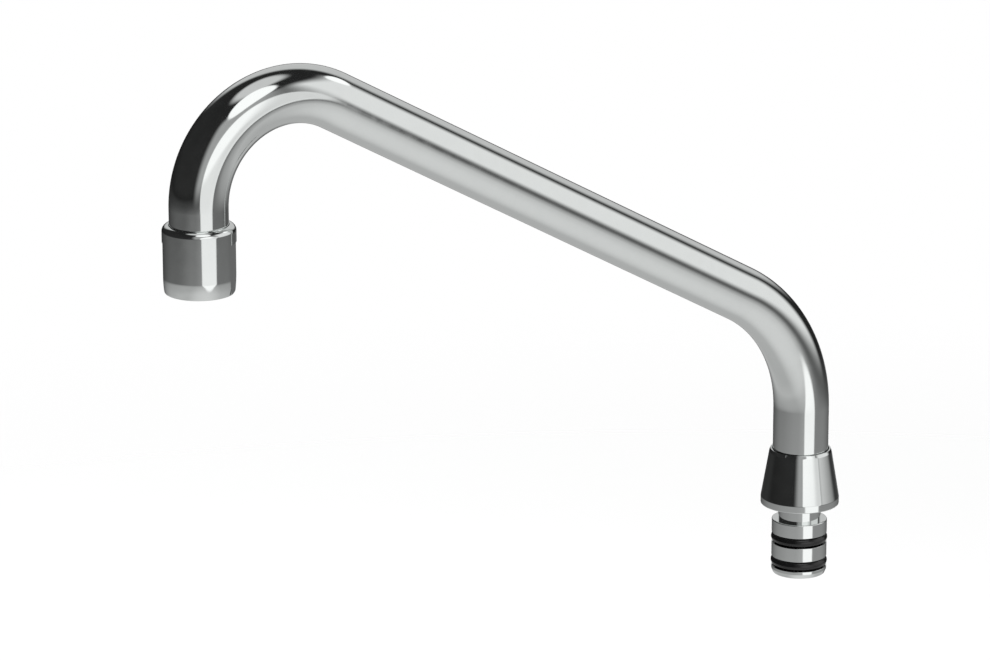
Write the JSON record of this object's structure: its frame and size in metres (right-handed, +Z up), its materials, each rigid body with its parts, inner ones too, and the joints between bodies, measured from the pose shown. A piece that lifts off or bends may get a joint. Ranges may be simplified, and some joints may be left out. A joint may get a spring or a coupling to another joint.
{
  "type": "swivel spout",
  "caption": "Bent tubular swivel spout with a tapered collar, an O-ring spigot and a screwed-on aerator with wrench flats.",
  "frame": {"origin": "on the swivel axis, at the collar's flat face that rests on the tap", "axes": "+Z up along the swivel axis, -Y along the arm towards the outlet, +X to the right of the arm"},
  "size_m": [0.027, 0.2554, 0.2036],
  "materials": {
    "chromed_tube": "bright chrome plate on brass tube",
    "chromed_shank": "bright chrome plate on turned brass",
    "chromed_housing": "bright chrome plate on turned brass",
    "o_ring_rubber": "black nitrile, lightly greased",
    "washer_rubber": "black rubber",
    "shell_plastic": "white acetal",
    "strainer_plastic": "light grey acetal",
    "regulator_plastic": "off-white acetal",
    "regulator_rubber": "dark silicone",
    "diffuser_plastic": "off-white acetal",
    "screen_steel": "woven stainless wire",
    "spacer_plastic": "white acetal",
    "grid_plastic": "white acetal"
  },
  "bodies": {
    "o_rings": {"upper_o_ring": "o_ring_rubber", "lower_o_ring": "o_ring_rubber"},
    "spout": {"spout_tube": "chromed_tube", "swivel_shank": "chromed_shank"},
    "insert": {"aerator_shell": "shell_plastic", "aerator_washer": "washer_rubber", "inlet_strainer": "strainer_plastic", "flow_regulator": "regulator_plastic", "regulator_o_ring": "regulator_rubber", "diffuser_disc": "diffuser_plastic", "upper_screen": "screen_steel", "middle_screen": "screen_steel", "lower_screen": "screen_steel", "upper_spacer": "spacer_plastic", "lower_spacer": "spacer_plastic", "outlet_grid": "grid_plastic"},
    "housing": {"aerator_housing": "chromed_housing"}
  },
  "joints": [
    {"name": "swivel", "type": "hinge", "parent": "o_rings", "child": "spout", "pos_m": [0, 0, 0], "axis": [0, 0, 1], "continuous": true},
    {"name": "insert_drop", "type": "slide", "parent": "spout", "child": "insert", "axis": [0, 0, -1], "range_m": [0, 0.00659]},
    {"name": "housing_unscrew", "type": "hinge", "parent": "insert", "child": "housing", "pos_m": [0, -0.23, 0.12], "axis": [0, 0, -1], "range_deg": [0, 2520]}
  ],
  "couplings": [
    {"joint": "insert_drop", "follows": "housing_unscrew", "m_per_rad": 0.00014972}
  ]
}
